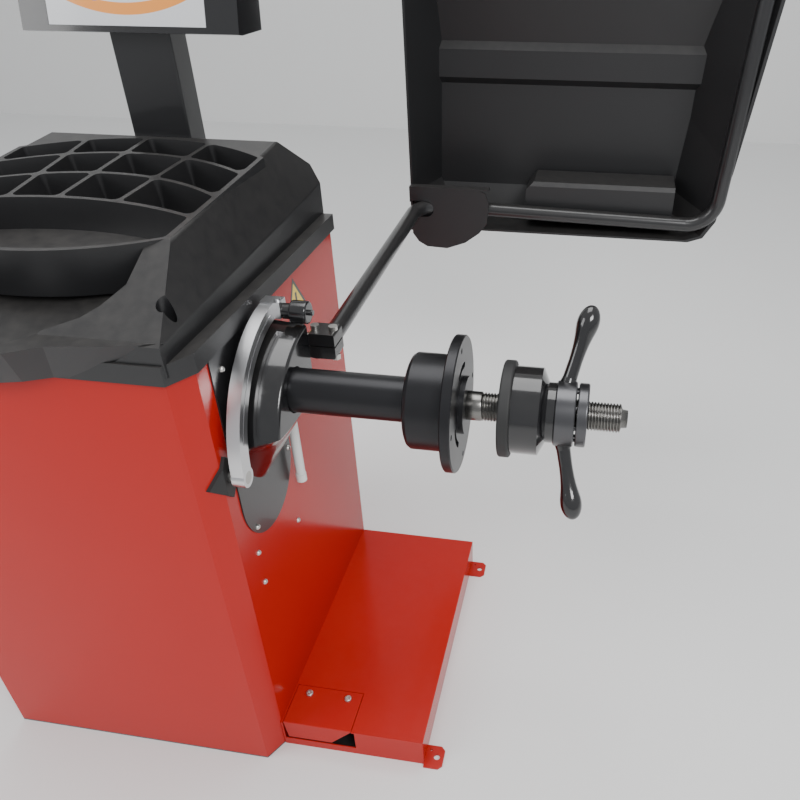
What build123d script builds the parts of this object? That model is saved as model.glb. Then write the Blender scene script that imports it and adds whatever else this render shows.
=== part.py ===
"""Wheel balancer: cabinet with weight tray, spindle with quick nut, distance gauge,
swinging wheel guard, display head and foot brake.

Millimetres. +X runs along the spindle, away from the cabinet; +Y points to the back; +Z is up.
The origin is on the floor, below the spindle axis, in the plane of the cabinet's right side.
"""
from build123d import *
from math import cos, hypot, radians, sin, sqrt, tan
import os

os.makedirs("parts", exist_ok=True)

# ---------------------------------------------------------------- driving dimensions
AXIS_H = 661.0  # spindle axis above the floor
CAB_W = 488.0  # cabinet width along X
CAB_FRONT = -154.0
CAB_BACK = 384.0
CAB_TOP = 762.0
CORNER_X = -20.0  # facet between the front and the right side
CORNER_Y = -118.0
SHEET = 2.0
FLOOR_PLATE = 3.0

PLAT_X = 250.0  # foot platform beside the cabinet
PLAT_FRONT = -121.0
PLAT_TOP = 59.5
PEDAL_X = (3.5, 124.0)
PEDAL_Y = (-119.5, -42.0)
PEDAL_LIP_Z = 19.0
PEDAL_PIN = (-46.0, 50.0)  # Y, Z of the pedal hinge
LUG_Y = (-107.0, 358.0)
LUG_X = 270.0
LUG_HOLE_R = 5.5

TRAY_X0 = -494.0
TRAY_X1 = 6.0
TRAY_Y0 = -160.0
TRAY_Y1 = 395.0
TRAY_MID = (TRAY_X0 + TRAY_X1) / 2
SKIRT_Z = 750.0
WALL_IN = 18.0  # step from the skirt to the wall above it
FIELD_Z = 893.0  # height of the weight-pocket field at FIELD_Y
FIELD_Y = 167.0
FIELD_TILT = 0.08
POCKET_DEPTH = 42.0
POCKET_TAPER = 9.0
RIB = 7.0  # ribs between the pockets
BULGE_LOW = ((170, -150), (120, -158), (90, -163), (60, -178), (30, -186))  # from the tray's middle
BULGE_HIGH = ((235, -150), (170, -168), (105, -179), (70, -202), (35, -213))
CAPS = ((-25, -107, 800), (-463, -107, 800), (-59, 377, 857), (-429, 377, 857))  # plugs over the tray screws
SCOOP = ((169, -38), (164, -88), (142, -115), (123, -130), (82, -148), (58, -176), (30, -205))

POST_X = (-292.0, -195.0)
POST_Y = (331.0, 381.7)
HEAD_W = 340.0
HEAD_MID = -242.0
HEAD_Y = 303.0
HEAD_Z = 1055.0
HEAD_H = 235.0
HEAD_TILT = 13.0

THREAD_R = 19.0
THREAD_PITCH = 4.0
THREAD_X = (330.0, 510.0)
TUBE_R = 31.0  # fixed spindle tube
SHAFT_R = 15.0
BELL_X = (233.0, 288.0)
BELL_R = 65.5
FLANGE_X = (288.0, 302.0)
FLANGE_R = 92.5
BOLT_CIRCLE_R = 80.0
STAND_X = (-60.0, -190.0)  # plates that carry the spindle tube
PULLEY_X = -226.0
PULLEY_R = 70.0
MOTOR_Y = 150.0
MOTOR_Z = 452.0
MOTOR_PULLEY_R = 28.0
HANDLE_TURN = radians(25)  # about the spindle, from upright
HANDLE_LEAN = radians(13)  # away from the cabinet

HUB_Y = 62.0  # centre of the spindle shroud and of the gauge arm
HUB_Z = 585.0
GAUGE_Y = -103.0
GAUGE_Z = 582.0
GAUGE_ROD_R = 9.0
RAIL_Z = 545.0

GUARD_Y = 105.0
GUARD_Z = 683.0
GUARD_ARM_X = 83.0
GUARD_TUBE_R = 14.0
HOOD_RIM = 701.0  # front plane of the hood
HOOD_BACK = 832.0
HOOD_SKIN = 3.5


# ---------------------------------------------------------------- helpers
def facing_x(x, y=0.0, z=0.0):
    """Plane that looks along +X, with its local axes along Y and Z."""
    return Plane(origin=(x, y, z), x_dir=(0, 1, 0), z_dir=(1, 0, 0))


def facing_front(y, x=0.0, z=0.0):
    """Plane that looks along -Y, with its local axes along X and Z."""
    return Plane(origin=(x, y, z), x_dir=(1, 0, 0), z_dir=(0, -1, 0))


def bent_sheet(points, thickness):
    """Closed outline of a sheet folded along points, thickened to the left of its path."""
    inner = []
    for i, here in enumerate(points):
        corners = [points[i - 1] if i else None, here, points[i + 1] if i + 1 < len(points) else None]
        normals = []
        for a, b in zip(corners, corners[1:]):
            if a and b:
                run = hypot(b[0] - a[0], b[1] - a[1])
                normals.append((-(b[1] - a[1]) / run, (b[0] - a[0]) / run))
        nx = sum(n[0] for n in normals) / len(normals)
        ny = sum(n[1] for n in normals) / len(normals)
        scale = thickness / (nx * nx + ny * ny)
        inner.append((here[0] + nx * scale, here[1] + ny * scale))
    return list(points) + inner[::-1]


def outline(points):
    """Closed straight-sided face on the current sketch."""
    make_face(Wire.make_polygon([Vector(*p) for p in points], close=True).edges())


def turned(profile):
    """Solid of revolution about the spindle axis from (x, radius) points."""
    with BuildSketch(facing_front(0, 0, AXIS_H)) as section:
        outline(profile)
    revolve(section.sketch, axis=Axis((0, 0, AXIS_H), (1, 0, 0)))


def ring(x0, x1, outer, inner, y=0.0, z=AXIS_H):
    """Tube along X from x0 to x1."""
    with BuildSketch(facing_x(x0, y, z)) as section:
        Circle(outer)
        if inner:
            Circle(inner, mode=Mode.SUBTRACT)
    extrude(section.sketch, amount=x1 - x0)


def block(x, y, z, mode=Mode.ADD):
    """Box between pairs of limits."""
    with BuildSketch(Plane.XY.offset(z[0])) as section:
        with Locations(((x[0] + x[1]) / 2, (y[0] + y[1]) / 2)):
            Rectangle(x[1] - x[0], y[1] - y[0])
    extrude(section.sketch, amount=z[1] - z[0], mode=mode)


def rounded_path(points, radius):
    """Line with rounded corners through 3-D points."""
    pts = [Vector(*p) for p in points]
    start = pts[0]
    for i in range(1, len(pts) - 1):
        back = (pts[i - 1] - pts[i]).normalized()
        ahead = (pts[i + 1] - pts[i]).normalized()
        half = radians(back.get_angle(ahead)) / 2
        reach = radius / tan(half)
        first = pts[i] + back * reach
        last = pts[i] + ahead * reach
        middle = pts[i] + (back + ahead).normalized() * (radius / sin(half) - radius)
        Line(start, first)
        ThreePointArc(first, middle, last)
        start = last
    Line(start, pts[-1])


# ---------------------------------------------------------------- cabinet
with BuildPart() as front_panel:
    with BuildSketch(Plane.XY.offset(FLOOR_PLATE)):
        outline(bent_sheet([(-CAB_W, CAB_FRONT), (CORNER_X, CAB_FRONT), (0, CORNER_Y), (0, CAB_BACK)], SHEET))
    extrude(amount=CAB_TOP - FLOOR_PLATE)
    with BuildSketch(facing_x(-SHEET - 1)):
        with Locations((0, AXIS_H)):
            Circle(50)
        with Locations((GUARD_Y, GUARD_Z)):
            Circle(12.3)
        with Locations((GAUGE_Y, GAUGE_Z)):
            Circle(GAUGE_ROD_R + 0.3)
    extrude(amount=SHEET + 2, mode=Mode.SUBTRACT)

with BuildPart() as left_panel:
    with BuildSketch(Plane.XY.offset(FLOOR_PLATE)):
        outline(bent_sheet([(-CAB_W + 20, CAB_BACK - SHEET), (-CAB_W, CAB_BACK - SHEET),
                            (-CAB_W, CAB_FRONT + SHEET), (-CAB_W + 20, CAB_FRONT + SHEET)], SHEET))
    extrude(amount=CAB_TOP - FLOOR_PLATE)
    with BuildSketch(facing_x(-CAB_W - 1, 115, 300)):
        with GridLocations(0, 14, 1, 9):
            SlotOverall(120, 6)
    extrude(amount=SHEET + 2, mode=Mode.SUBTRACT)

with BuildPart() as back_panel:
    block((-CAB_W, -SHEET), (CAB_BACK - SHEET, CAB_BACK), (FLOOR_PLATE, CAB_TOP))
    block((-418, -390), (CAB_BACK - SHEET - 1, CAB_BACK + 1), (168, 192), Mode.SUBTRACT)
    block((-370, -342), (CAB_BACK - SHEET - 1, CAB_BACK + 1), (168, 192), Mode.SUBTRACT)

with BuildPart() as base_plate:
    with BuildSketch():
        outline([(-CAB_W, CAB_FRONT), (CORNER_X, CAB_FRONT), (0, CORNER_Y), (0, -116), (130, -116),
                 (130, 378), (0, 378), (0, CAB_BACK), (-CAB_W, CAB_BACK)])
    extrude(amount=FLOOR_PLATE)

# ---------------------------------------------------------------- platform and foot pedal
with BuildPart() as platform:
    block((0, PLAT_X), (PLAT_FRONT, CAB_BACK), (PLAT_TOP - SHEET, PLAT_TOP))
    with BuildSketch():
        outline(bent_sheet([(0, PLAT_FRONT), (PLAT_X, PLAT_FRONT), (PLAT_X, CAB_BACK), (0, CAB_BACK)], SHEET))
    extrude(amount=PLAT_TOP - SHEET)
    block((2.5, 125), (PLAT_FRONT - 1, PEDAL_Y[1] + 1), (PLAT_TOP - SHEET - 1, PLAT_TOP + 1), Mode.SUBTRACT)
    block((2.5, 130), (PLAT_FRONT - 1, PLAT_FRONT + SHEET + 1), (16, PLAT_TOP - SHEET), Mode.SUBTRACT)

with BuildPart() as anchor_lugs:
    for lug_y in LUG_Y:
        with BuildSketch():
            with Locations((PLAT_X + 16, lug_y)):
                Rectangle(32, 42)
        extrude(amount=FLOOR_PLATE + 1)
    chamfer(anchor_lugs.edges().filter_by(Axis.Z).group_by(Axis.X)[-1], 7)
    with BuildSketch():
        with Locations(*[(LUG_X, lug_y) for lug_y in LUG_Y]):
            Circle(LUG_HOLE_R)
        with Locations(*[(PLAT_X + 8, lug_y + 12) for lug_y in LUG_Y]):
            Circle(2)
    extrude(amount=FLOOR_PLATE + 1, mode=Mode.SUBTRACT)

with BuildPart() as pedal_plate:
    block(PEDAL_X, PEDAL_Y, (PLAT_TOP - SHEET, PLAT_TOP))
    with BuildSketch(facing_front(PEDAL_Y[0] + SHEET)):
        outline([(8, PEDAL_LIP_Z), (86, PEDAL_LIP_Z), (PEDAL_X[1], PLAT_TOP - SHEET),
                 (PEDAL_X[0], PLAT_TOP - SHEET)])
    extrude(amount=SHEET)
    with BuildSketch(facing_x(24, *PEDAL_PIN)):
        Circle(PLAT_TOP - SHEET - PEDAL_PIN[1] + 1)
    extrude(amount=76)
    with BuildSketch(facing_x(20, *PEDAL_PIN)):
        Circle(4.05)
    extrude(amount=84, mode=Mode.SUBTRACT)
    fillet(pedal_plate.edges().filter_by(Axis.X).group_by(Axis.Z)[-1].group_by(Axis.Y)[0], 1.5)

with BuildPart() as pedal_screws:
    for screw_x in (29, 100):
        with BuildSketch(Plane.XY.offset(PLAT_TOP)):
            with Locations((screw_x, -57)):
                Circle(6.5)
        extrude(amount=3.6)
    fillet(pedal_screws.faces().filter_by(Axis.Z).group_by(Axis.Z)[-1].edges(), 1.6)
    for screw_x in (29, 100):
        with BuildSketch(Plane.XY.offset(PLAT_TOP + 3.6)):
            with Locations((screw_x, -57)):
                RegularPolygon(2.6, 6)
        extrude(amount=-2.2, mode=Mode.SUBTRACT)

with BuildPart() as pedal_bracket:
    for bracket_x in (12, 108):
        with BuildSketch(facing_x(bracket_x)):
            outline([(-66, FLOOR_PLATE), (-26, FLOOR_PLATE), (-38, 56), (-54, 56)])
            with Locations(PEDAL_PIN):
                Circle(4, mode=Mode.SUBTRACT)
        extrude(amount=4)
    ring(12, 112, 4, 0, *PEDAL_PIN)

# ---------------------------------------------------------------- weight tray
FIELD = Plane(origin=(TRAY_MID, FIELD_Y, FIELD_Z), x_dir=(1, 0, 0), z_dir=(0, -FIELD_TILT, 1))
FRONT_ARC = (-82.0, -353.0)  # apex Y and radius of an arc across the field; below 0 it bulges forward
RIDGES = ((76.0, 480.0), (168.0, 325.0), (252.0, 331.0))
BACK_ARC = (322.0, 327.0)
DIVIDERS = ((-437.0, -441.0), (-331.0, -351.0), (-262.0, -262.0), (-175.0, -157.0), (-51.0, -47.0))


def arc_y(arc, x):
    """Y of an arc across the field, at x."""
    apex, radius = arc
    sagitta = abs(radius) - sqrt(radius ** 2 - (x - TRAY_MID) ** 2)
    return apex - sagitta if radius > 0 else apex + sagitta


def meet(arc, divider, shift):
    """Point where a divider, moved sideways by shift, meets an arc."""
    y = 150.0
    for _ in range(6):
        x = divider[0] + (divider[1] - divider[0]) * (y - 42) / 211 + shift
        y = arc_y(arc, x)
    return x, y


def field_patch(front, back, left, right, inset):
    """Face on the field between two arcs and two dividers, drawn in by inset."""
    front = (front[0] + inset, front[1])
    back = (back[0] - inset, back[1])
    corners = [meet(front, left, inset), meet(front, right, -inset),
               meet(back, right, -inset), meet(back, left, inset)]
    near, far = [(corners[i][0] + corners[i + 1][0]) / 2 for i in (0, 2)]
    stretch = sqrt(1 + FIELD_TILT ** 2)
    flat = [(x - TRAY_MID, (y - FIELD_Y) * stretch) for x, y in corners]
    with BuildLine() as edge:
        ThreePointArc(flat[0], (near - TRAY_MID, (arc_y(front, near) - FIELD_Y) * stretch), flat[1])
        Line(flat[1], flat[2])
        ThreePointArc(flat[2], (far - TRAY_MID, (arc_y(back, far) - FIELD_Y) * stretch), flat[3])
        Line(flat[3], flat[0])
    make_face(edge.edges())


def mirrored(points):
    """Plan outline symmetric about the tray's middle, from its right half."""
    return [(TRAY_MID + x, y) for x, y in points] + [(TRAY_MID - x, y) for x, y in points[::-1]]


def bin_body(front, back, left, right, pockets):
    """Field block with tapered pockets, one for each pair of arcs."""
    with BuildSketch(FIELD) as plate:
        field_patch(front, back, left, right, 0.05)
    extrude(plate.sketch, amount=-POCKET_DEPTH - 3)
    for near, far in pockets:
        with BuildSketch(FIELD) as pocket:
            field_patch(near, far, left, right, RIB / 2)
            fillet(pocket.vertices(), 9)
        extrude(pocket.sketch, amount=-POCKET_DEPTH, taper=POCKET_TAPER, mode=Mode.SUBTRACT)


def tray_section(y, wall_top, field_top):
    """Cross-section of the tray above its skirt: walls, then shoulders up to the field."""
    run = (field_top - wall_top) / tan(radians(65))
    half = (TRAY_X1 - TRAY_X0) / 2 - WALL_IN
    with BuildSketch(facing_front(y, TRAY_MID)) as section:
        outline([(-half, SKIRT_Z + 10), (half, SKIRT_Z + 10), (half, wall_top), (half - run, field_top),
                 (run - half, field_top), (-half, wall_top)])
        fillet(section.vertices().filter_by(lambda v: v.Y > SKIRT_Z + 20), 7)
    return section.sketch


def plan(inset, front=0.0):
    """Plan outline of the cabinet, grown outwards by a negative inset."""
    left, right = -CAB_W + inset, -inset
    outline([(left, CAB_FRONT + inset + front), (CORNER_X - inset * 0.6, CAB_FRONT + inset + front),
             (right, CORNER_Y + inset * 0.6), (right, CAB_BACK - inset), (left, CAB_BACK - inset)])


with BuildPart() as scoop:
    with BuildSketch(Plane.XY.offset(760)):
        outline(mirrored(SCOOP))
    extrude(amount=180)
    with BuildSketch(facing_x(TRAY_X0)):
        with BuildLine():
            Polyline((-20, 824), (-20, 945), (-260, 945), (-260, 772), (-200, 772))
            Spline((-200, 772), (-150, 777), (-90, 793), (-20, 824))
        make_face()
    extrude(amount=TRAY_X1 - TRAY_X0, mode=Mode.INTERSECT)
    with BuildSketch(FIELD):
        field_patch(FRONT_ARC, BACK_ARC, DIVIDERS[0], DIVIDERS[-1], -4)
    extrude(amount=60, both=True, mode=Mode.SUBTRACT)

with BuildPart() as weight_tray:
    loft([tray_section(TRAY_Y0 + 3, 799, 867), tray_section(TRAY_Y1, 826, 912)], ruled=True)
    with BuildSketch(facing_x(TRAY_X0)) as side:
        outline([(-170, 740), (-170, 791), (-30, 877.3), (330, 906), (400, 852), (400, 740)])
        fillet(side.vertices().filter_by(lambda v: v.Y > 870), 7)
    extrude(amount=TRAY_X1 - TRAY_X0, mode=Mode.INTERSECT)
    with BuildSketch(Plane.XY.offset(SKIRT_Z)):
        plan(-6)
    extrude(amount=26)
    with BuildSketch(FIELD):
        field_patch(FRONT_ARC, BACK_ARC, DIVIDERS[0], DIVIDERS[-1], -4)
    extrude(amount=-90)
    with BuildSketch(Plane.XY.offset(SKIRT_Z + 2)):
        outline(mirrored(BULGE_LOW))
    with BuildSketch(Plane.XY.offset(802)):
        outline(mirrored(BULGE_HIGH))
    loft(ruled=True)
    add(scoop.part, mode=Mode.SUBTRACT)
    with BuildSketch(FIELD.offset(5)):
        field_patch(FRONT_ARC, BACK_ARC, DIVIDERS[0], DIVIDERS[-1], 0)
    extrude(amount=-POCKET_DEPTH - 8, mode=Mode.SUBTRACT)
    with BuildSketch(FIELD.offset(-POCKET_DEPTH - 4)):
        field_patch(FRONT_ARC, BACK_ARC, DIVIDERS[0], DIVIDERS[-1], 8)
    extrude(amount=8, mode=Mode.SUBTRACT)
    with BuildSketch(Plane.XY.offset(SKIRT_Z - 1)):
        plan(-0.3)
    extrude(amount=CAB_TOP + 2 - SKIRT_Z)
    block((-452, -36), (-30, TRAY_Y1 - 14), (CAB_TOP, 820), Mode.SUBTRACT)
    with BuildSketch(Plane.XY.offset(SKIRT_Z - 1)):
        plan(-0.3)
    extrude(amount=CAB_TOP + 2 - SKIRT_Z, mode=Mode.SUBTRACT)
    block((POST_X[0] - 0.3, POST_X[1] + 0.3), (POST_Y[0] - 0.3, POST_Y[1] + 0.3), (740, 930), Mode.SUBTRACT)
    for cap_x, cap_y, cap_z in CAPS:
        with BuildSketch(Plane.XY.offset(cap_z)):
            with Locations((cap_x, cap_y)):
                Circle(10)
        extrude(amount=60, mode=Mode.SUBTRACT)

with BuildPart() as tray_caps:
    for cap_x, cap_y, cap_z in CAPS:
        with BuildSketch(Plane.XY.offset(cap_z)):
            with Locations((cap_x, cap_y)):
                Circle(9)
        extrude(amount=2)

with BuildPart() as arc_tray:
    bin_body(FRONT_ARC, RIDGES[0], DIVIDERS[0], DIVIDERS[-1], ((FRONT_ARC, RIDGES[0]),))

with BuildPart() as bin_column_1:
    bin_body(RIDGES[0], BACK_ARC, DIVIDERS[0], DIVIDERS[1], list(zip(RIDGES, RIDGES[1:] + (BACK_ARC,))))

with BuildPart() as bin_column_2:
    bin_body(RIDGES[0], BACK_ARC, DIVIDERS[1], DIVIDERS[2], list(zip(RIDGES, RIDGES[1:] + (BACK_ARC,))))

with BuildPart() as bin_column_3:
    bin_body(RIDGES[0], BACK_ARC, DIVIDERS[2], DIVIDERS[3], list(zip(RIDGES, RIDGES[1:] + (BACK_ARC,))))

with BuildPart() as bin_column_4:
    bin_body(RIDGES[0], BACK_ARC, DIVIDERS[3], DIVIDERS[4], list(zip(RIDGES, RIDGES[1:] + (BACK_ARC,))))

# ---------------------------------------------------------------- spindle surround
with BuildPart() as shroud_plate:
    with BuildSketch(facing_x(0)):
        with BuildLine():
            Polyline((-89, 507), (-89, 747), (89, 747), (89, 507))
            ThreePointArc((89, 507), (0, 418), (-89, 507))
        make_face()
        with Locations((0, AXIS_H)):
            Circle(TUBE_R + 0.2, mode=Mode.SUBTRACT)
        with Locations((GUARD_Y, GUARD_Z)):
            Circle(GUARD_TUBE_R + 3, mode=Mode.SUBTRACT)
    extrude(amount=SHEET)


def hump(inset, x0, x1):
    """Solid between the shroud's foot and its face, drawn in by inset."""
    shapes = (((70, 728), 146, 172, ((-40, 533), (2, 508), (40, 516)), (68, 562)),
              ((66, 728), 143, 163, ((-35, 621), (0, 620), (35, 620)), (64, 622)))
    faces = []
    for x, (top, radius, sweep_to, lower, corner) in zip((x0, x1), shapes):
        first = (HUB_Y, HUB_Z + radius - inset)
        mid = radians(90 + (sweep_to - 90) / 2)
        end = radians(sweep_to)
        reach = radius - inset
        last = (HUB_Y + reach * cos(end), HUB_Z + reach * sin(end) + inset * 0.6)
        with BuildSketch(facing_x(x)) as section:
            with BuildLine():
                ThreePointArc(first, (HUB_Y + reach * cos(mid), HUB_Z + reach * sin(mid)), last)
                Spline(last, *[(y, z + inset) for y, z in lower], (corner[0] - inset, corner[1] + inset))
                Line((corner[0] - inset, corner[1] + inset), (top[0] - inset, first[1]))
                Line((top[0] - inset, first[1]), first)
            make_face()
        faces.append(section.sketch)
    loft(faces)


with BuildPart() as shroud_hollow:
    hump(3, SHEET - 0.5, 66)

with BuildPart() as spindle_shroud:
    hump(0, SHEET, 69)
    fillet(spindle_shroud.faces().sort_by(Axis.X)[-1].edges().sort_by(SortBy.LENGTH)[-1], 5)
    add(shroud_hollow.part, mode=Mode.SUBTRACT)
    with BuildSketch(facing_x(0)):
        with Locations((0, AXIS_H)):
            Circle(TUBE_R + 1.5)
    extrude(amount=80, mode=Mode.SUBTRACT)

with BuildPart() as panel_screws:
    screw_spots = ((SHEET, -63, 722), (SHEET, -61, 454), (SHEET, 80, 500),
                   (0, 74, 352), (0, -71, 411), (0, -71, 350))
    for screw_x, screw_y, screw_z in screw_spots:
        with Locations(Location((screw_x, screw_y, screw_z))):
            Sphere(4.5)
    block((-10, SHEET), (-89, 89), (500, 760), Mode.SUBTRACT)
    block((-10, SHEET), (-75, -50), (440, 470), Mode.SUBTRACT)
    block((-10, 0), (-90, 90), (340, 420), Mode.SUBTRACT)
    block((-10, SHEET), (70, 90), (490, 510), Mode.SUBTRACT)

with BuildPart() as spindle_tube:
    ring(-200, 250, TUBE_R, 26)

with BuildPart() as bearings:
    for bearing_x in (-198, 230):
        ring(bearing_x, bearing_x + 16, 26, SHAFT_R + 0.03)

with BuildPart() as spindle_stand:
    for stand_x in STAND_X:
        with BuildSketch(facing_x(stand_x)):
            outline([(-130, FLOOR_PLATE), (235, FLOOR_PLATE), (225, MOTOR_Z + 60), (60, AXIS_H + 45),
                     (-60, AXIS_H + 45), (-90, 500)])
            with Locations((0, AXIS_H)):
                Circle(TUBE_R, mode=Mode.SUBTRACT)
            with Locations((MOTOR_Y, MOTOR_Z)):
                Circle(57.5, mode=Mode.SUBTRACT)
            with Locations((20, 260)):
                Circle(80, mode=Mode.SUBTRACT)
            with Locations((GAUGE_Y, RAIL_Z), (GAUGE_Y, GAUGE_Z)):
                Circle(30, mode=Mode.SUBTRACT)
        extrude(amount=8)
    block((-182, -60), (-60, 60), (AXIS_H - 110, AXIS_H - 102))

# ---------------------------------------------------------------- rotating spindle
with BuildPart() as spindle_shaft:
    ring(-250, BELL_X[1], SHAFT_R, 0)

with BuildPart() as bell_cover:
    turned([(BELL_X[0], TUBE_R + 1), (BELL_X[0], 59), (BELL_X[0] + 2, 63), (BELL_X[0] + 6, BELL_R),
            (BELL_X[1], BELL_R), (BELL_X[1], 60), (BELL_X[0] + 5, 60), (BELL_X[0] + 5, TUBE_R + 1)])

with BuildPart() as flange_plate:
    ring(FLANGE_X[0], FLANGE_X[1], FLANGE_R, THREAD_R + 0.75)
    chamfer(flange_plate.edges().filter_by(GeomType.CIRCLE).filter_by(lambda e: e.radius > 90), 1.5)
    ring(FLANGE_X[1], 309, 39, THREAD_R + 0.75)
    with BuildSketch(facing_x(FLANGE_X[0], 0, AXIS_H)):
        with PolarLocations(BOLT_CIRCLE_R, 4, 0):
            Circle(4)
        for turn in (90, 210, 330):
            SlotArc(Edge.make_circle(54, start_angle=turn - 20, end_angle=turn + 20), 8)
    extrude(amount=FLANGE_X[1] - FLANGE_X[0], mode=Mode.SUBTRACT)

with BuildPart() as threaded_shaft:
    crest = [(FLANGE_X[0], 0), (FLANGE_X[0], THREAD_R + 0.75), (THREAD_X[0] - 2, THREAD_R + 0.75),
             (THREAD_X[0], 17)]
    for turn in range(int((THREAD_X[1] - THREAD_X[0]) / THREAD_PITCH)):
        x = THREAD_X[0] + turn * THREAD_PITCH
        crest += [(x + 0.6, 17), (x + 1.6, THREAD_R), (x + 2.8, THREAD_R), (x + 3.8, 17)]
    turned(crest + [(THREAD_X[1], 17), (THREAD_X[1] + 2, 12.5), (519, 11.5), (519, 0)])

with BuildPart() as spindle_pulley:
    ring(PULLEY_X - 11, PULLEY_X + 11, PULLEY_R, SHAFT_R)
    ring(PULLEY_X - 11, PULLEY_X - 9, PULLEY_R + 3, SHAFT_R + 1)
    ring(PULLEY_X + 9, PULLEY_X + 11, PULLEY_R + 3, SHAFT_R + 1)

with BuildPart() as motor:
    ring(-200, -50, 57, 0, MOTOR_Y, MOTOR_Z)
    ring(-206, -200, 30, 0, MOTOR_Y, MOTOR_Z)
    fillet(motor.edges().filter_by(GeomType.CIRCLE).filter_by(lambda e: e.radius > 50), 5)
    ring(-207, -190, 0.1 + 8.4, 0, MOTOR_Y, MOTOR_Z)
    with BuildSketch(facing_x(-210, MOTOR_Y, MOTOR_Z)):
        Circle(8.05)
    extrude(amount=40, mode=Mode.SUBTRACT)

with BuildPart() as motor_pulley:
    ring(PULLEY_X - 9, PULLEY_X + 9, MOTOR_PULLEY_R, 0, MOTOR_Y, MOTOR_Z)
    ring(PULLEY_X + 9, -172, 8, 0, MOTOR_Y, MOTOR_Z)

with BuildPart() as drive_belt:
    with BuildSketch(facing_x(PULLEY_X - 7)):
        with BuildSketch(mode=Mode.PRIVATE) as wheels:
            with Locations((0, AXIS_H)):
                Circle(PULLEY_R + 0.4)
            with Locations((MOTOR_Y, MOTOR_Z)):
                Circle(MOTOR_PULLEY_R + 0.4)
        band = make_hull(wheels.edges(), mode=Mode.PRIVATE)
        offset(band, 2.5)
        add(band, mode=Mode.SUBTRACT)
    extrude(amount=14)

with BuildPart() as power_board:
    block((-440, -300), (CAB_BACK - 24, CAB_BACK - 22), (260, 420))
    for part_x, part_z, size in ((-420, 280, 26), (-370, 290, 34), (-330, 360, 20), (-410, 370, 30)):
        block((part_x, part_x + size), (CAB_BACK - 24 - size, CAB_BACK - 24), (part_z, part_z + size))
    for stud_x, stud_z in ((-434, 266), (-306, 266), (-434, 414), (-306, 414)):
        block((stud_x - 3, stud_x + 3), (CAB_BACK - 22, CAB_BACK - SHEET), (stud_z - 3, stud_z + 3))

with BuildPart() as mains_inlet:
    block((-417.5, -390.5), (350, CAB_BACK), (168.5, 191.5))
    block((-422, -386), (CAB_BACK, CAB_BACK + 2.5), (163, 197))
    block((-413, -395), (366, CAB_BACK + 3), (173, 187), Mode.SUBTRACT)
    for pin_x, pin_z in ((-409, 179), (-399, 179), (-404, 183)):
        block((pin_x - 1, pin_x + 1), (365, 381), (pin_z - 2, pin_z + 2))

with BuildPart() as rocker_frame:
    block((-369.5, -342.5), (362, CAB_BACK), (168.5, 191.5))
    block((-372, -340), (CAB_BACK, CAB_BACK + 2), (166, 194))
    block((-367.5, -344.5), (366, CAB_BACK + 3), (170, 190), Mode.SUBTRACT)

with BuildPart() as power_rocker:
    with BuildSketch(facing_x(-367)):
        outline([(376, 171.5), (386, 171.5), (384.5, 180), (386, 188.5), (376, 188.5)])
    extrude(amount=22)

# ---------------------------------------------------------------- quick nut
with BuildPart() as pressure_cup:
    turned([(358, 54), (358, 58), (407, 58), (415.5, 40), (425.5, 40), (425.5, 19.3), (411, 19.3), (402, 54)])

with BuildPart() as pressure_ring:
    ring(355.5, 371, 64.5, 58)
    fillet(pressure_ring.edges().filter_by(GeomType.CIRCLE).filter_by(lambda e: e.radius > 60), 3)

with BuildPart() as nut_body:
    ring(425.8, 452, 43, THREAD_R + 0.05)
    chamfer(nut_body.edges().filter_by(GeomType.CIRCLE).filter_by(lambda e: e.radius > 40), 1.5)

with BuildPart() as nut_handles:
    for side in (1, -1):
        root = (439, side * 40 * sin(HANDLE_TURN), AXIS_H + side * 40 * cos(HANDLE_TURN))
        along = (sin(HANDLE_LEAN), side * cos(HANDLE_LEAN) * sin(HANDLE_TURN),
                 side * cos(HANDLE_LEAN) * cos(HANDLE_TURN))
        with BuildSketch(Plane(origin=root, x_dir=along, z_dir=(0, cos(HANDLE_TURN), -sin(HANDLE_TURN)))):
            with BuildLine():
                Polyline((0, 0), (0, 11), (8, 9.5), (30, 9))
                Spline((30, 9), (64, 12), (87, 14), (104, 0), tangents=((1, 0.02), (0, -1)))
                Line((104, 0), (0, 0))
            make_face()
        revolve(axis=Axis(root, along))
    with BuildSketch(facing_x(420, 0, AXIS_H)):
        Circle(43.02)
    extrude(amount=40, mode=Mode.SUBTRACT)

with BuildPart() as release_ring:
    with BuildSketch(facing_x(452, 0, AXIS_H)):
        with PolarLocations(34, 8):
            Circle(2.5)
    extrude(amount=3)
    ring(454, 468, 42, THREAD_R + 0.5)
    fillet(release_ring.edges().filter_by(GeomType.CIRCLE).filter_by(lambda e: e.radius > 40), 2.5)

# ---------------------------------------------------------------- distance gauge
with BuildPart() as gauge_gland:
    with BuildSketch(Plane.XY.offset(GAUGE_Z - 40)):
        outline(bent_sheet([(0, -70), (0, CORNER_Y), (CORNER_X, CAB_FRONT)], 5))
    extrude(amount=80)
    with BuildSketch(facing_x(-30)):
        with Locations((GAUGE_Y - 4, GAUGE_Z)):
            Rectangle(48, 48, rotation=45)
    extrude(amount=50, mode=Mode.INTERSECT)
    block((-1, 10), (-89.3, -60), (530, 630), Mode.SUBTRACT)
    with BuildSketch(facing_x(-30)):
        with Locations((GAUGE_Y, GAUGE_Z)):
            Circle(GAUGE_ROD_R + 0.3)
    extrude(amount=50, mode=Mode.SUBTRACT)

with BuildPart() as gauge_rail:
    ring(-CAB_W + SHEET, -SHEET, 6, 0, GAUGE_Y, RAIL_Z)

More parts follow.
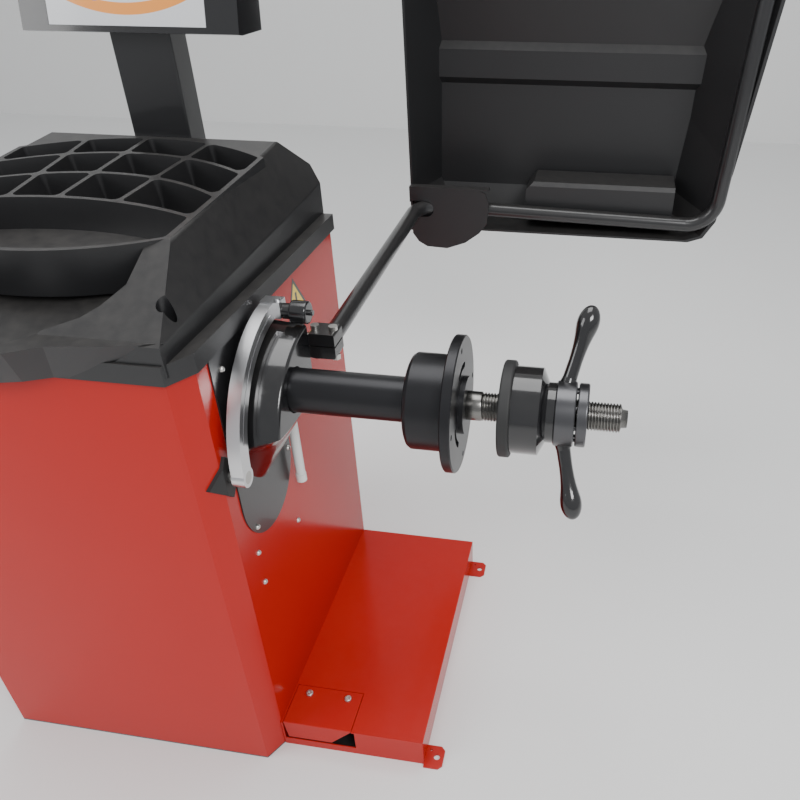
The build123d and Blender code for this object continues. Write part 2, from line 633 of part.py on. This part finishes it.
with BuildPart() as gauge_carriage:
    block((-230, -212), (GAUGE_Y - 18, GAUGE_Y + 18), (RAIL_Z - 14, GAUGE_Z + 18))
    with BuildSketch(facing_x(-240)):
        with Locations((GAUGE_Y, RAIL_Z)):
            Circle(6.05)
        with Locations((GAUGE_Y, GAUGE_Z)):
            Circle(GAUGE_ROD_R + 0.05)
    extrude(amount=40, mode=Mode.SUBTRACT)

with BuildPart() as gauge_rod:
    ring(-240, 30, GAUGE_ROD_R, 0, GAUGE_Y, GAUGE_Z)
    ring(-236, -230.4, 14, 0, GAUGE_Y, GAUGE_Z)
    ring(-211.6, -206, 14, 0, GAUGE_Y, GAUGE_Z)

with BuildPart() as gauge_arm:
    with BuildSketch(facing_x(12)):
        with BuildLine():
            ThreePointArc((HUB_Y, HUB_Z + 177), (HUB_Y - 125.2, HUB_Z + 125.2), (HUB_Y - 177, HUB_Z - 2))
            Line((HUB_Y - 177, HUB_Z - 2), (HUB_Y - 154, HUB_Z - 2))
            ThreePointArc((HUB_Y - 154, HUB_Z - 2), (HUB_Y - 109, HUB_Z + 109), (HUB_Y, HUB_Z + 155))
            Line((HUB_Y, HUB_Z + 155), (HUB_Y, HUB_Z + 177))
        make_face()
        with Locations((GAUGE_Y, GAUGE_Z)):
            Circle(14)
            Circle(GAUGE_ROD_R, mode=Mode.SUBTRACT)
    extrude(amount=18)
    with BuildSketch(facing_x(30, HUB_Y, HUB_Z)):
        SlotArc(Edge.make_circle(166, start_angle=96, end_angle=164), 2.4)
    extrude(amount=-1.5, mode=Mode.SUBTRACT)
    block((12, 40), (HUB_Y - 10, HUB_Y + 12), (HUB_Z + 155.5, HUB_Z + 179))
    with Locations(Location((34, HUB_Y, HUB_Z + 179))):
        Cylinder(5, 3, align=(Align.CENTER, Align.CENTER, Align.MIN))
    with BuildSketch(facing_x(20, HUB_Y + 1, 748)):
        Circle(4.05)
    extrude(amount=40, mode=Mode.SUBTRACT)

with BuildPart() as gauge_knob:
    ring(24, 83, 4, 0, HUB_Y + 1, 748)
    ring(40.5, 52, 11, 3, HUB_Y + 1, 748)
    ring(52, 77, 16, 3, HUB_Y + 1, 748)
    fillet(gauge_knob.edges().filter_by(GeomType.CIRCLE).filter_by(lambda e: e.radius > 15), 3)

# ---------------------------------------------------------------- wheel guard
with BuildPart() as guard_shaft:
    ring(-70, 59, 12, 0, GUARD_Y, GUARD_Z)

with BuildPart() as guard_clamp:
    block((59, 99), (86, 124), (664, 703))
    fillet(guard_clamp.edges().filter_by(Axis.Y), 4)
    block((58, 100), (85, 125), (682, 684.5), Mode.SUBTRACT)
    block((70, 96), (96, 112), (670, 698))

with BuildPart() as clamp_bolts:
    for bolt_x in (65, 92.5):
        with Locations(Location((bolt_x, 105, 703))):
            Cylinder(6.5, 6, align=(Align.CENTER, Align.CENTER, Align.MIN))
        with BuildSketch(Plane.XY.offset(656)):
            with Locations((bolt_x, 105)):
                RegularPolygon(7, 6)
        extrude(amount=8)

GUARD_PATH = ((GUARD_ARM_X, 125, GUARD_Z), (GUARD_ARM_X, 703, 700), (684, 703, 686), (712, 703, 1235))
with BuildPart() as guard_tube:
    with BuildLine() as guard_line:
        rounded_path(GUARD_PATH, 56)
    with BuildSketch(Plane(origin=GUARD_PATH[0], x_dir=(1, 0, 0), z_dir=(0, 579, 17))):
        Circle(GUARD_TUBE_R)
        Circle(GUARD_TUBE_R - 2.5, mode=Mode.SUBTRACT)
    sweep(path=guard_line.wire())

RIM = ((84, 652), (67, 720), (67, 1240), (120, 1332), (690, 1332), (752, 1240),
       (704, 790), (688, 696), (668, 662), (640, 652))
REAR = ((128, 672), (104, 720), (118, 1240), (150, 1300), (596, 1300), (634, 1240),
        (622, 860), (608, 716), (590, 682), (566, 672))


def hood_form(inset):
    """Solid of the hood: tapered from rim to rear, with a back that leans forward at the top."""
    faces = []
    for y, points in ((HOOD_RIM - inset, RIM), (HOOD_BACK, REAR)):
        with BuildSketch(facing_front(y)) as section:
            outline([(x + (inset if x < 360 else -inset), z + (inset if z < 960 else -inset))
                     for x, z in points])
        faces.append(section.sketch)
    loft(faces, ruled=True)
    back = HOOD_BACK - inset
    with BuildSketch(facing_x(0)) as profile:
        outline([(HOOD_RIM - 2 * inset - 1, 640), (back - 26, 640), (back, 715), (back, 914),
                 (back - 11, 926), (back - 11, 977), (back, 991), (back - 92, 1340), (HOOD_RIM - 2 * inset - 1, 1340)])
    extrude(profile.sketch, amount=800, mode=Mode.INTERSECT)


with BuildPart() as hood_hollow:
    hood_form(HOOD_SKIN)

with BuildPart() as guard_hood:
    hood_form(0)
    add(hood_hollow.part, mode=Mode.SUBTRACT)
    with BuildSketch(facing_front(683)):
        outline([(72, 645), (84, 628), (102, 618), (145, 616), (184, 630), (214, 652), (230, 673), (233, 714),
                 (226, 734), (206, 742), (72, 742)])
    extrude(amount=-HOOD_SKIN)
    block((72, 233), (683, HOOD_RIM + 2), (738.5, 742))
    block((68, 72), (683, HOOD_RIM + 2), (652, 742))
    with BuildSketch(facing_front(675)):
        with Locations((90, 697)):
            SlotOverall(56, 33)
    extrude(amount=-16, mode=Mode.SUBTRACT)
    with BuildLine() as tube_line:
        rounded_path(GUARD_PATH, 56)
    with BuildSketch(Plane(origin=GUARD_PATH[0], x_dir=(1, 0, 0), z_dir=(0, 579, 17))):
        Circle(GUARD_TUBE_R)
    sweep(path=tube_line.wire(), mode=Mode.SUBTRACT)

with BuildPart() as hood_block:
    with BuildSketch(facing_x(305)):
        outline([(718.5, 684), (790, 684), (812, 720), (812, 752), (724, 752), (718.5, 744)])
    extrude(amount=298)
    chamfer(hood_block.edges().filter_by(Axis.Y).group_by(Axis.X)[0].group_by(Axis.Z)[-1], 15)

with BuildPart() as spring_tube:
    with Locations(Location((17, 80, 437))):
        Cylinder(7.5, 255, align=(Align.CENTER, Align.CENTER, Align.MIN))
    with Locations(Location((17, 80, 437))):
        Cylinder(8.5, 14, align=(Align.CENTER, Align.CENTER, Align.MIN))

# ---------------------------------------------------------------- display
with BuildPart() as display_post:
    block(POST_X, POST_Y, (500, 1053))
    fillet(display_post.edges().filter_by(Axis.Z), 3)

SCREEN = Plane(origin=(HEAD_MID, HEAD_Y, HEAD_Z), x_dir=(1, 0, 0),
               z_dir=(0, -cos(radians(HEAD_TILT)), sin(radians(HEAD_TILT))))
with BuildPart() as display_housing:
    run = HEAD_H * sin(radians(HEAD_TILT))
    rise = HEAD_H * cos(radians(HEAD_TILT))
    with BuildSketch(facing_x(HEAD_MID - HEAD_W / 2)):
        outline([(HEAD_Y, HEAD_Z), (HEAD_Y + run, HEAD_Z + rise), (HEAD_Y + run + 42, HEAD_Z + rise - 10),
                 (392, 1110), (384, HEAD_Z), (384, 1053), (HEAD_Y + 10, 1053)])
    extrude(amount=HEAD_W)
    with BuildSketch(SCREEN):
        with Locations((-2.5, HEAD_H / 2 + 2)):
            Rectangle(247, HEAD_H - 12)
    extrude(amount=-1, mode=Mode.SUBTRACT)
    with BuildSketch(SCREEN):
        with Locations((-2.5, 130)):
            with GridLocations(48, 0, 4, 1):
                Circle(9.4)
    extrude(amount=-9, mode=Mode.SUBTRACT)

with BuildPart() as display_overlay:
    with BuildSketch(SCREEN.offset(-1)):
        with Locations((-2.5, HEAD_H / 2 + 2)):
            Rectangle(246, HEAD_H - 13)
        with Locations((-2.5, 130)):
            with GridLocations(48, 0, 4, 1):
                Circle(9.4, mode=Mode.SUBTRACT)
    extrude(amount=0.8)


def key(x):
    """Round push key on the display face, with its stem."""
    with BuildSketch(SCREEN.offset(-5)) as cap:
        with Locations((x, 130)):
            Circle(9)
    extrude(cap.sketch, amount=7)


with BuildPart() as key_1:
    key(-74.5)

with BuildPart() as key_2:
    key(-26.5)

with BuildPart() as key_3:
    key(21.5)

with BuildPart() as key_4:
    key(69.5)

# ---------------------------------------------------------------- labels
with BuildPart() as warning_label:
    with BuildSketch(facing_x(0)):
        outline([(197, 738), (160, 675), (251, 665)])
    extrude(amount=0.3)

# ---------------------------------------------------------------- output
PARTS = {
    "front_panel": front_panel, "left_panel": left_panel, "back_panel": back_panel,
    "base_plate": base_plate, "platform": platform, "anchor_lugs": anchor_lugs,
    "pedal_plate": pedal_plate, "pedal_screws": pedal_screws, "pedal_bracket": pedal_bracket,
    "weight_tray": weight_tray, "tray_caps": tray_caps, "arc_tray": arc_tray,
    "bin_column_1": bin_column_1, "bin_column_2": bin_column_2, "bin_column_3": bin_column_3,
    "bin_column_4": bin_column_4, "shroud_plate": shroud_plate, "spindle_shroud": spindle_shroud,
    "panel_screws": panel_screws, "spindle_tube": spindle_tube, "bearings": bearings,
    "spindle_stand": spindle_stand, "spindle_shaft": spindle_shaft, "bell_cover": bell_cover,
    "flange_plate": flange_plate, "threaded_shaft": threaded_shaft, "spindle_pulley": spindle_pulley,
    "motor": motor, "motor_pulley": motor_pulley, "drive_belt": drive_belt, "power_board": power_board,
    "mains_inlet": mains_inlet, "rocker_frame": rocker_frame, "power_rocker": power_rocker,
    "pressure_cup": pressure_cup, "pressure_ring": pressure_ring, "nut_body": nut_body,
    "nut_handles": nut_handles, "release_ring": release_ring, "gauge_gland": gauge_gland,
    "gauge_rail": gauge_rail, "gauge_carriage": gauge_carriage, "gauge_rod": gauge_rod,
    "gauge_arm": gauge_arm, "gauge_knob": gauge_knob, "guard_shaft": guard_shaft,
    "guard_clamp": guard_clamp, "clamp_bolts": clamp_bolts, "guard_tube": guard_tube,
    "guard_hood": guard_hood, "hood_block": hood_block, "spring_tube": spring_tube,
    "display_post": display_post, "display_housing": display_housing, "display_overlay": display_overlay,
    "key_1": key_1, "key_2": key_2, "key_3": key_3, "key_4": key_4, "warning_label": warning_label,
}
for name, piece in PARTS.items():
    piece.part.label = name
    export_step(piece.part, f"parts/{name}.step")
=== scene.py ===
"""Finish, light and camera for the wheel balancer."""
import math

import bpy
import bmesh
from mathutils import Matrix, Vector


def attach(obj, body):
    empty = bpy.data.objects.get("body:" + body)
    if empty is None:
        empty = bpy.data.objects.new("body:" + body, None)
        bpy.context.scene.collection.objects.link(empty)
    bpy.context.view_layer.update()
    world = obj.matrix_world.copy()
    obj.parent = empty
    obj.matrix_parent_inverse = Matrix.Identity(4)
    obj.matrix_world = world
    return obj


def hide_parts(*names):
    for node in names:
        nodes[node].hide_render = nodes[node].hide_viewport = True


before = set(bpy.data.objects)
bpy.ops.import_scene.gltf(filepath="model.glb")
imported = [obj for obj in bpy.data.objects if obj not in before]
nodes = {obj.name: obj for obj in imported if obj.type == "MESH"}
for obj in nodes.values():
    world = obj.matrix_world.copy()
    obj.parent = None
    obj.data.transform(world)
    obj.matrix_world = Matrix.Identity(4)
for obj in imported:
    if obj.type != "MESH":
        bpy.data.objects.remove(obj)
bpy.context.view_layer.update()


# ---------------------------------------------------------------- node helpers
def maths(tree, kind, a, b=None, clamp=False):
    """Maths node; a and b are sockets or numbers."""
    node = tree.nodes.new("ShaderNodeMath")
    node.operation = kind
    node.use_clamp = clamp
    for i, v in enumerate((a, b)):
        if v is None:
            continue
        if isinstance(v, (int, float)):
            node.inputs[i].default_value = v
        else:
            tree.links.new(v, node.inputs[i])
    return node.outputs[0]


def noise(tree, coords, scale, detail):
    """Noise texture in object space."""
    node = tree.nodes.new("ShaderNodeTexNoise")
    node.inputs["Scale"].default_value = scale
    node.inputs["Detail"].default_value = detail
    tree.links.new(coords.outputs["Object"], node.inputs["Vector"])
    return node.outputs["Fac"]


def blend(tree, factor, under, over):
    """Colour over laid on under by the factor socket; under is a socket or a colour."""
    node = tree.nodes.new("ShaderNodeMixRGB")
    node.inputs[2].default_value = (*over, 1)
    tree.links.new(factor, node.inputs[0])
    if isinstance(under, tuple):
        node.inputs[1].default_value = (*under, 1)
    else:
        tree.links.new(under, node.inputs[1])
    return node.outputs[0]


def between(tree, value, low, high):
    """Mask of the values between low and high."""
    return maths(tree, "MULTIPLY", maths(tree, "GREATER_THAN", value, low),
                 maths(tree, "LESS_THAN", value, high))


# ---------------------------------------------------------------- materials
COAT_ROUGH = 0.06
LEAST_ROUGH = 0.03
BROAD_SCALE, BROAD_DETAIL = 9.0, 6.0     # slow change of gloss and tint over a panel
DUST_SCALE, DUST_DETAIL = 60.0, 8.0
DUST_COLOR = (0.42, 0.39, 0.35)
GRAIN_DETAIL = 3.0
GRAIN_DEPTH = 0.0006                     # metres of relief at full strength


def material(name, color, rough, metal=0.0, coat=0.0, wear=0.12, grain=0.0, grain_scale=400.0,
             dust=0.0, gloss=0.5):
    """Painted, moulded or machined surface with uneven gloss, fine relief and dust on top."""
    mat = bpy.data.materials.new(name)
    mat.use_nodes = True
    tree = mat.node_tree
    tree.nodes.clear()
    out = tree.nodes.new("ShaderNodeOutputMaterial")
    shader = tree.nodes.new("ShaderNodeBsdfPrincipled")
    tree.links.new(shader.outputs[0], out.inputs[0])
    shader.inputs["Metallic"].default_value = metal
    shader.inputs["Specular IOR Level"].default_value = gloss
    shader.inputs["Coat Weight"].default_value = coat
    shader.inputs["Coat Roughness"].default_value = COAT_ROUGH
    coords = tree.nodes.new("ShaderNodeTexCoord")
    broad = noise(tree, coords, BROAD_SCALE, BROAD_DETAIL)
    spread = tree.nodes.new("ShaderNodeMapRange")
    spread.inputs["To Min"].default_value = max(LEAST_ROUGH, rough * (1 - wear))
    spread.inputs["To Max"].default_value = min(1.0, rough * (1 + wear))
    tree.links.new(broad, spread.inputs["Value"])
    tree.links.new(spread.outputs["Result"], shader.inputs["Roughness"])
    paint = blend(tree, broad, tuple(c * (1 - 0.5 * wear) for c in color), color)
    if dust:
        geometry = tree.nodes.new("ShaderNodeNewGeometry")
        normal = tree.nodes.new("ShaderNodeSeparateXYZ")
        tree.links.new(geometry.outputs["Normal"], normal.inputs[0])
        fine = noise(tree, coords, DUST_SCALE, DUST_DETAIL)
        settled = maths(tree, "MULTIPLY", normal.outputs["Z"], fine, clamp=True)
        paint = blend(tree, maths(tree, "MULTIPLY", settled, dust), paint, DUST_COLOR)
    tree.links.new(paint, shader.inputs["Base Color"])
    if grain:
        speck = noise(tree, coords, grain_scale, GRAIN_DETAIL)
        bump = tree.nodes.new("ShaderNodeBump")
        bump.inputs["Strength"].default_value = grain
        bump.inputs["Distance"].default_value = GRAIN_DEPTH
        tree.links.new(speck, bump.inputs["Height"])
        tree.links.new(bump.outputs[0], shader.inputs["Normal"])
    return mat


# paints, mouldings and coatings
RED = material("red_paint", (0.43, 0.012, 0.008), 0.20, coat=0.06, grain=0.05, grain_scale=120,
               dust=0.02, gloss=0.22)
TRAY = material("tray_black", (0.012, 0.012, 0.013), 0.34, grain=0.12, grain_scale=700, dust=0.10)
HOOD = material("hood_black", (0.014, 0.014, 0.015), 0.46, grain=0.10, grain_scale=600, dust=0.08)
GLOSS = material("black_gloss", (0.007, 0.007, 0.008), 0.14, coat=0.5, dust=0.04)
BLACK = material("black_paint", (0.012, 0.012, 0.013), 0.30, coat=0.3, grain=0.06,
                 grain_scale=300, dust=0.06)
RUBBER = material("rubber", (0.014, 0.014, 0.014), 0.62, grain=0.2, grain_scale=500)
WHITE = material("white_plastic", (0.72, 0.72, 0.70), 0.40, grain=0.05)
GREY = material("grey_plastic", (0.42, 0.43, 0.45), 0.34, coat=0.2, grain=0.06, grain_scale=500)
BOARD = material("circuit_board", (0.02, 0.12, 0.05), 0.4)

# metals
CAST = material("blackened_steel", (0.020, 0.020, 0.022), 0.32, metal=0.6, grain=0.08,
                grain_scale=260)
STEEL = material("turned_steel", (0.50, 0.49, 0.47), 0.28, metal=1.0, grain=0.05, grain_scale=900)
SPINDLE = material("oiled_steel", (0.20, 0.195, 0.185), 0.26, metal=1.0, grain=0.05,
                   grain_scale=900)
NUT = material("dark_steel", (0.10, 0.10, 0.105), 0.30, metal=0.9, grain=0.05, grain_scale=500)
ZINC = material("zinc", (0.62, 0.61, 0.58), 0.32, metal=1.0, grain=0.05, grain_scale=700)
ALU = material("anodised_aluminium", (0.70, 0.70, 0.71), 0.30, metal=1.0, grain=0.06,
               grain_scale=800)


# ---------------------------------------------------------------- printed surfaces
def layered(name, layers, ground):
    """Printed surface: each layer is (mask builder, colour), painted in turn over the ground."""
    mat = material(name, ground, 0.35, coat=0.3)
    tree = mat.node_tree
    shader = next(n for n in tree.nodes if n.type == "BSDF_PRINCIPLED")
    coords = tree.nodes.new("ShaderNodeTexCoord")
    axes = tree.nodes.new("ShaderNodeSeparateXYZ")
    tree.links.new(coords.outputs["Object"], axes.inputs[0])
    paint = shader.inputs["Base Color"].links[0].from_socket
    for build, color in layers:
        paint = blend(tree, build(tree, *axes.outputs[:3]), paint, color)
    tree.links.new(paint, shader.inputs["Base Color"])
    return mat


def in_disc(cx, cz, radius):
    """Mask of a disc in the X-Z plane."""
    def build(tree, x, y, z):
        dx = maths(tree, "SUBTRACT", x, cx)
        dz = maths(tree, "SUBTRACT", z, cz)
        squares = [maths(tree, "MULTIPLY", d, d) for d in (dx, dz)]
        return maths(tree, "LESS_THAN", maths(tree, "ADD", *squares), radius * radius)
    return build


def in_box(x0, x1, z0, z1):
    """Mask of a rectangle in the X-Z plane."""
    def build(tree, x, y, z):
        return maths(tree, "MULTIPLY", between(tree, x, x0, x1), between(tree, z, z0, z1))
    return build


# warning triangle on the side panel: corners as (Y, Z), and the upright mark inside it
CORNERS = ((0.197, 0.738), (0.160, 0.675), (0.251, 0.665))
BORDER = 0.005
MARK_Y, MARK_HALF = 0.2015, 0.0035
MARK_Z = (0.684, 0.713)


def triangle_border(tree, x, y, z):
    """Mask of the border of the warning triangle."""
    best = None
    for (y0, z0), (y1, z1) in zip(CORNERS, CORNERS[1:] + CORNERS[:1]):
        run = math.hypot(y1 - y0, z1 - z0)
        ny, nz = -(z1 - z0) / run, (y1 - y0) / run
        d = maths(tree, "ADD", maths(tree, "MULTIPLY", y, ny), maths(tree, "MULTIPLY", z, nz))
        d = maths(tree, "ABSOLUTE", maths(tree, "SUBTRACT", d, y0 * ny + z0 * nz))
        best = d if best is None else maths(tree, "MINIMUM", best, d)
    return maths(tree, "LESS_THAN", best, BORDER)


def upright_mark(tree, x, y, z):
    """Mask of the mark in the middle of the warning triangle."""
    off_centre = maths(tree, "ABSOLUTE", maths(tree, "SUBTRACT", y, MARK_Y))
    return maths(tree, "MULTIPLY", maths(tree, "LESS_THAN", off_centre, MARK_HALF),
                 between(tree, z, *MARK_Z))


YELLOW, INK = (0.85, 0.60, 0.03), (0.01, 0.01, 0.01)
WARNING = layered("warning_label", ((triangle_border, INK), (upright_mark, INK)), YELLOW)

# display face: an orange arc between two discs, two dark windows and two round marks
FACE, ORANGE, WINDOW = (0.62, 0.63, 0.65), (0.80, 0.28, 0.03), (0.01, 0.01, 0.012)
BLUE_MARK, DARK_MARK = (0.02, 0.12, 0.45), (0.03, 0.03, 0.035)
ARC_X, ARC_RADIUS = -0.244, 0.253
WINDOW_Z = (1.222, 1.262)
OVERLAY = layered("display_print", (
    (in_disc(ARC_X, 1.330, ARC_RADIUS), ORANGE),
    (in_disc(ARC_X, 1.345, ARC_RADIUS), FACE),
    (in_box(-0.350, -0.262, *WINDOW_Z), WINDOW),
    (in_box(-0.231, -0.143, *WINDOW_Z), WINDOW),
    (in_disc(-0.290, 1.110, 0.016), BLUE_MARK),
    (in_disc(-0.200, 1.112, 0.013), DARK_MARK)), FACE)

FINISH = {
    RED: ("front_panel", "left_panel", "back_panel", "platform", "pedal_plate", "anchor_lugs"),
    TRAY: ("weight_tray", "tray_caps", "arc_tray", "bin_column_1", "bin_column_2",
           "bin_column_3", "bin_column_4"),
    HOOD: ("guard_hood", "hood_block"),
    GLOSS: ("spindle_shroud", "pressure_cup", "nut_handles", "gauge_knob", "mains_inlet",
            "rocker_frame", "power_rocker", "display_housing"),
    BLACK: ("base_plate", "shroud_plate", "pedal_bracket", "spindle_stand", "guard_clamp",
            "guard_tube", "display_post"),
    CAST: ("spindle_tube", "bell_cover", "flange_plate", "motor"),
    SPINDLE: ("threaded_shaft", "spindle_shaft"),
    STEEL: ("bearings", "gauge_rod", "guard_shaft", "gauge_rail"),
    NUT: ("nut_body", "release_ring"),
    ZINC: ("pedal_screws", "panel_screws", "clamp_bolts"),
    ALU: ("spindle_pulley", "motor_pulley", "gauge_arm", "gauge_carriage"),
    RUBBER: ("drive_belt", "pressure_ring", "gauge_gland"),
    WHITE: ("spring_tube",),
    GREY: ("key_1", "key_2", "key_3", "key_4"),
    BOARD: ("power_board",),
    WARNING: ("warning_label",),
    OVERLAY: ("display_overlay",),
}
for mat, names in FINISH.items():
    for name in names:
        data = nodes[name].data
        data.materials.clear()
        data.materials.append(mat)


# ---------------------------------------------------------------- true screw thread
AXIS_H = 0.661                                       # spindle axis above the floor
PITCH, TURNS = 0.004, 45
THREAD_X = 0.330                                     # where the first turn starts
ROOT_R, THREAD_DEPTH = 0.017, 0.002
FLANK, ROOT_CUT = 4.16, 0.35                         # slope of the flanks, height cut off below
SHOULDER = [(0.288, 0.01975), (0.328, 0.01975)]      # plain ends, as (X, radius)
POINT = [(0.512, 0.0125), (0.519, 0.0115)]
AROUND, ROWS_PER_TURN = 48, 8


def thread_radius(turn):
    """Radius of the thread at a fraction of one turn: flat root, two flanks, flat crest."""
    height = FLANK * (0.5 - abs(turn - 0.5)) - ROOT_CUT
    return ROOT_R + THREAD_DEPTH * min(1.0, max(0.0, height))


def thread_mesh():
    """Helical thread over the plain core of the spindle end, with its shoulder and point."""
    rows = TURNS * ROWS_PER_TURN + 1
    helix = [(THREAD_X + i * PITCH / ROWS_PER_TURN, None) for i in range(rows)]
    bm = bmesh.new()
    loops = []
    for x, plain in SHOULDER + helix + POINT:
        loop = []
        for s in range(AROUND):
            a = 2 * math.pi * s / AROUND
            r = plain or thread_radius(((x - THREAD_X) / PITCH - s / AROUND) % 1.0)
            loop.append(bm.verts.new((x, r * math.cos(a), AXIS_H + r * math.sin(a))))
        loops.append(loop)
    for a, b in zip(loops, loops[1:]):
        for s in range(AROUND):
            after = (s + 1) % AROUND
            bm.faces.new((a[s], a[after], b[after], b[s]))
    bm.faces.new(loops[0][::-1])
    bm.faces.new(loops[-1])
    bmesh.ops.recalc_face_normals(bm, faces=bm.faces[:])
    mesh = bpy.data.meshes.new("spindle_thread")
    bm.to_mesh(mesh)
    bm.free()
    for p in mesh.polygons:
        p.use_smooth = len(p.vertices) == 4
    obj = bpy.data.objects.new("spindle_thread", mesh)
    bpy.context.scene.collection.objects.link(obj)
    mesh.materials.append(SPINDLE)
    return obj


thread = thread_mesh()
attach(thread, "spindle")
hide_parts("threaded_shaft")

# ---------------------------------------------------------------- floor, light and camera
STAGE_SIZE = 14
STAGE_GREY = material("floor_grey", (0.80, 0.80, 0.79), 0.85, wear=0.03)


def stage_plane(name, place, tilt):
    """Large plane of the set, tilted about X by degrees."""
    bpy.ops.mesh.primitive_plane_add(size=STAGE_SIZE, location=place,
                                     rotation=(math.radians(tilt), 0, 0))
    obj = bpy.context.object
    obj.name = name
    obj.data.materials.append(STAGE_GREY)
    return obj


def lamp(name, place, target, size, power):
    """Soft rectangular studio light aimed at a point."""
    data = bpy.data.lights.new(name, "AREA")
    data.shape = "RECTANGLE"
    data.size, data.size_y = size
    data.energy = power
    obj = bpy.data.objects.new(name, data)
    bpy.context.scene.collection.objects.link(obj)
    obj.location = place
    obj.rotation_euler = (Vector(target) - Vector(place)).to_track_quat("-Z", "Y").to_euler()
    return obj


stage = [
    stage_plane("floor", (0, 0, 0), 0),
    stage_plane("backdrop", (0, 4.5, 3.5), 90),
    lamp("key", (1.9, -2.2, 3.0), (0, 0.1, 0.6), (1.6, 1.2), 95),
    lamp("fill", (-2.6, -1.6, 2.2), (0, 0.1, 0.6), (1.6, 1.6), 35),
    lamp("top", (0.0, 0.6, 3.4), (0, 0.1, 0.5), (2.0, 2.0), 60),
]

SKY_COLOR, SKY_STRENGTH = (0.85, 0.87, 0.9, 1), 0.75
world = bpy.data.worlds.new("studio")
bpy.context.scene.world = world
world.use_nodes = True
background = world.node_tree.nodes["Background"]
background.inputs[0].default_value = SKY_COLOR
background.inputs[1].default_value = SKY_STRENGTH

CAMERA_AT = (0.4577, -0.8334, 1.1916)
CAMERA_AIM = (-0.1342, 0.8047, -0.5784)              # direction of view
cam_data = bpy.data.cameras.new("camera")
cam = bpy.data.objects.new("camera", cam_data)
bpy.context.scene.collection.objects.link(cam)
cam_data.sensor_width = 36
cam_data.lens = 33.65
cam_data.shift_x = -0.0935
cam_data.shift_y = 0.0595
cam.location = CAMERA_AT
cam.rotation_euler = Vector(CAMERA_AIM).to_track_quat("-Z", "Y").to_euler()
bpy.context.scene.camera = cam
